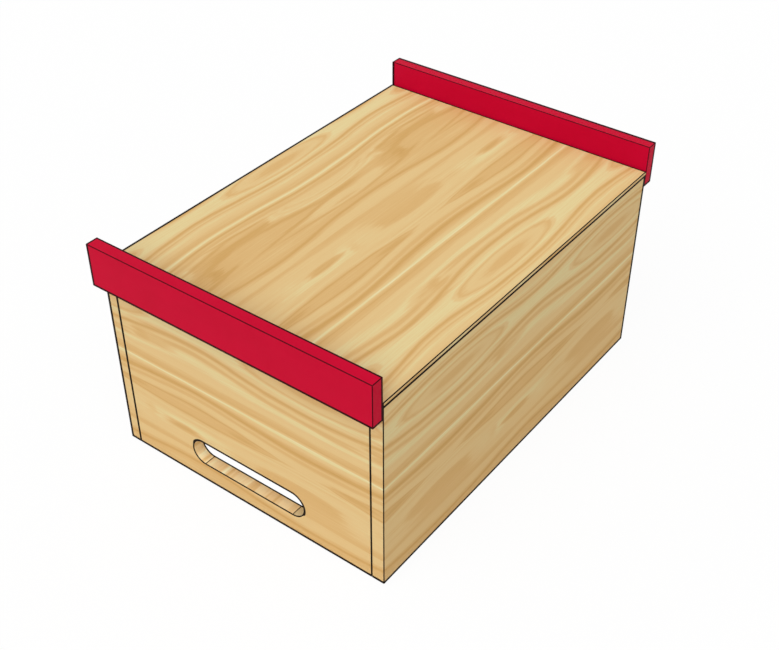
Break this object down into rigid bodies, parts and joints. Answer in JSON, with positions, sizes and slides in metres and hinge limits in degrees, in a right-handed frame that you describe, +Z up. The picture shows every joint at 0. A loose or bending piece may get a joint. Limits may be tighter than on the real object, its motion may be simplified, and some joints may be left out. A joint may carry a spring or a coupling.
{
  "type": "toy box",
  "caption": "Open plywood toy box standing on its rim, with a hand slot through each end and a red cleat screwed across each end beside the closed panel.",
  "frame": {"origin": "middle of the open rim, on the plane that the box stands on", "axes": "+Y along the box from the front end to the rear end, +X across the box from the left side to the right side, +Z up from the open rim to the closed panel"},
  "size_m": [0.4444, 0.6478, 0.3365],
  "materials": {
    "side_wood": "light plywood with a golden figure, clear satin finish",
    "end_wood": "light plywood with a golden figure, clear satin finish",
    "panel_wood": "thin light plywood with a golden figure, clear satin finish",
    "red_paint": "solid wood strip in smooth satin red paint",
    "screw_steel": "zinc plated steel",
    "nail_steel": "bright drawn steel"
  },
  "bodies": {
    "root": {"left_side": "side_wood", "right_side": "side_wood", "front_end": "end_wood", "rear_end": "end_wood", "base_panel": "panel_wood", "front_cleat": "red_paint", "rear_cleat": "red_paint", "front_cleat_screws": "screw_steel", "rear_cleat_screws": "screw_steel", "front_left_pocket_screws": "screw_steel", "front_right_pocket_screws": "screw_steel", "rear_left_pocket_screws": "screw_steel", "rear_right_pocket_screws": "screw_steel", "left_side_nails": "nail_steel", "right_side_nails": "nail_steel", "front_end_nails": "nail_steel", "rear_end_nails": "nail_steel"}
  },
  "joints": []
}
